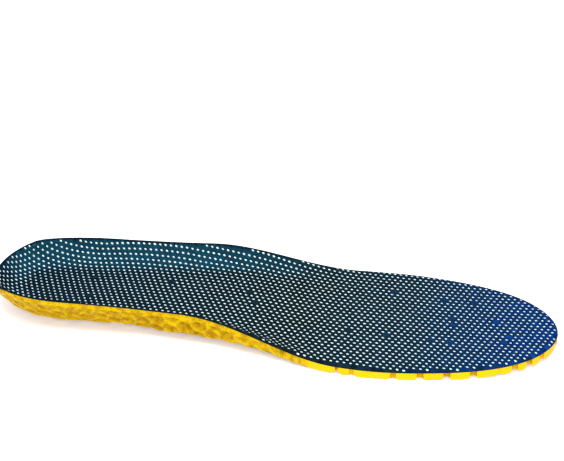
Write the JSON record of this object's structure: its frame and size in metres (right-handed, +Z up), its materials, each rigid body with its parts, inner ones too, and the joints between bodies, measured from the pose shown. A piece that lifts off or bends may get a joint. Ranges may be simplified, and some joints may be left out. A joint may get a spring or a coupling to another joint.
{
  "type": "cushioned shoe insole",
  "caption": "Left shoe insole: moulded honeycomb foam base with a raised heel cup and arch, under a bonded spacer-mesh cover, flexing at the ball of the foot.",
  "frame": {"origin": "middle of the footprint, on the surface that the insole lies on", "axes": "+Y from heel to toe, +X towards the medial (inner, arch) side, +Z up"},
  "size_m": [0.0924, 0.27, 0.0194],
  "materials": {
    "foam": "soft moulded closed-cell EVA foam, bright yellow, satin skin",
    "film": "thin hot-melt adhesive film",
    "backing": "dark polyester backing knit",
    "spacer": "off-white polyester spacer yarns",
    "face": "dark blue warp-knitted polyester mesh with open eyelets"
  },
  "bodies": {
    "rearfoot": {"foam_base_rear": "foam", "adhesive_film_rear": "film", "backing_knit_rear": "backing", "spacer_core_rear": "spacer", "face_mesh_rear": "face"},
    "forefoot": {"foam_base_front": "foam", "adhesive_film_front": "film", "backing_knit_front": "backing", "spacer_core_front": "spacer", "face_mesh_front": "face"}
  },
  "joints": [
    {"name": "toe_flex", "type": "hinge", "parent": "rearfoot", "child": "forefoot", "pos_m": [0, 0.0485, 0.0051], "axis": [0.9763, 0.2164, 0], "range_deg": [0, 50], "stiffness_Nm_per_rad": 0.03}
  ]
}
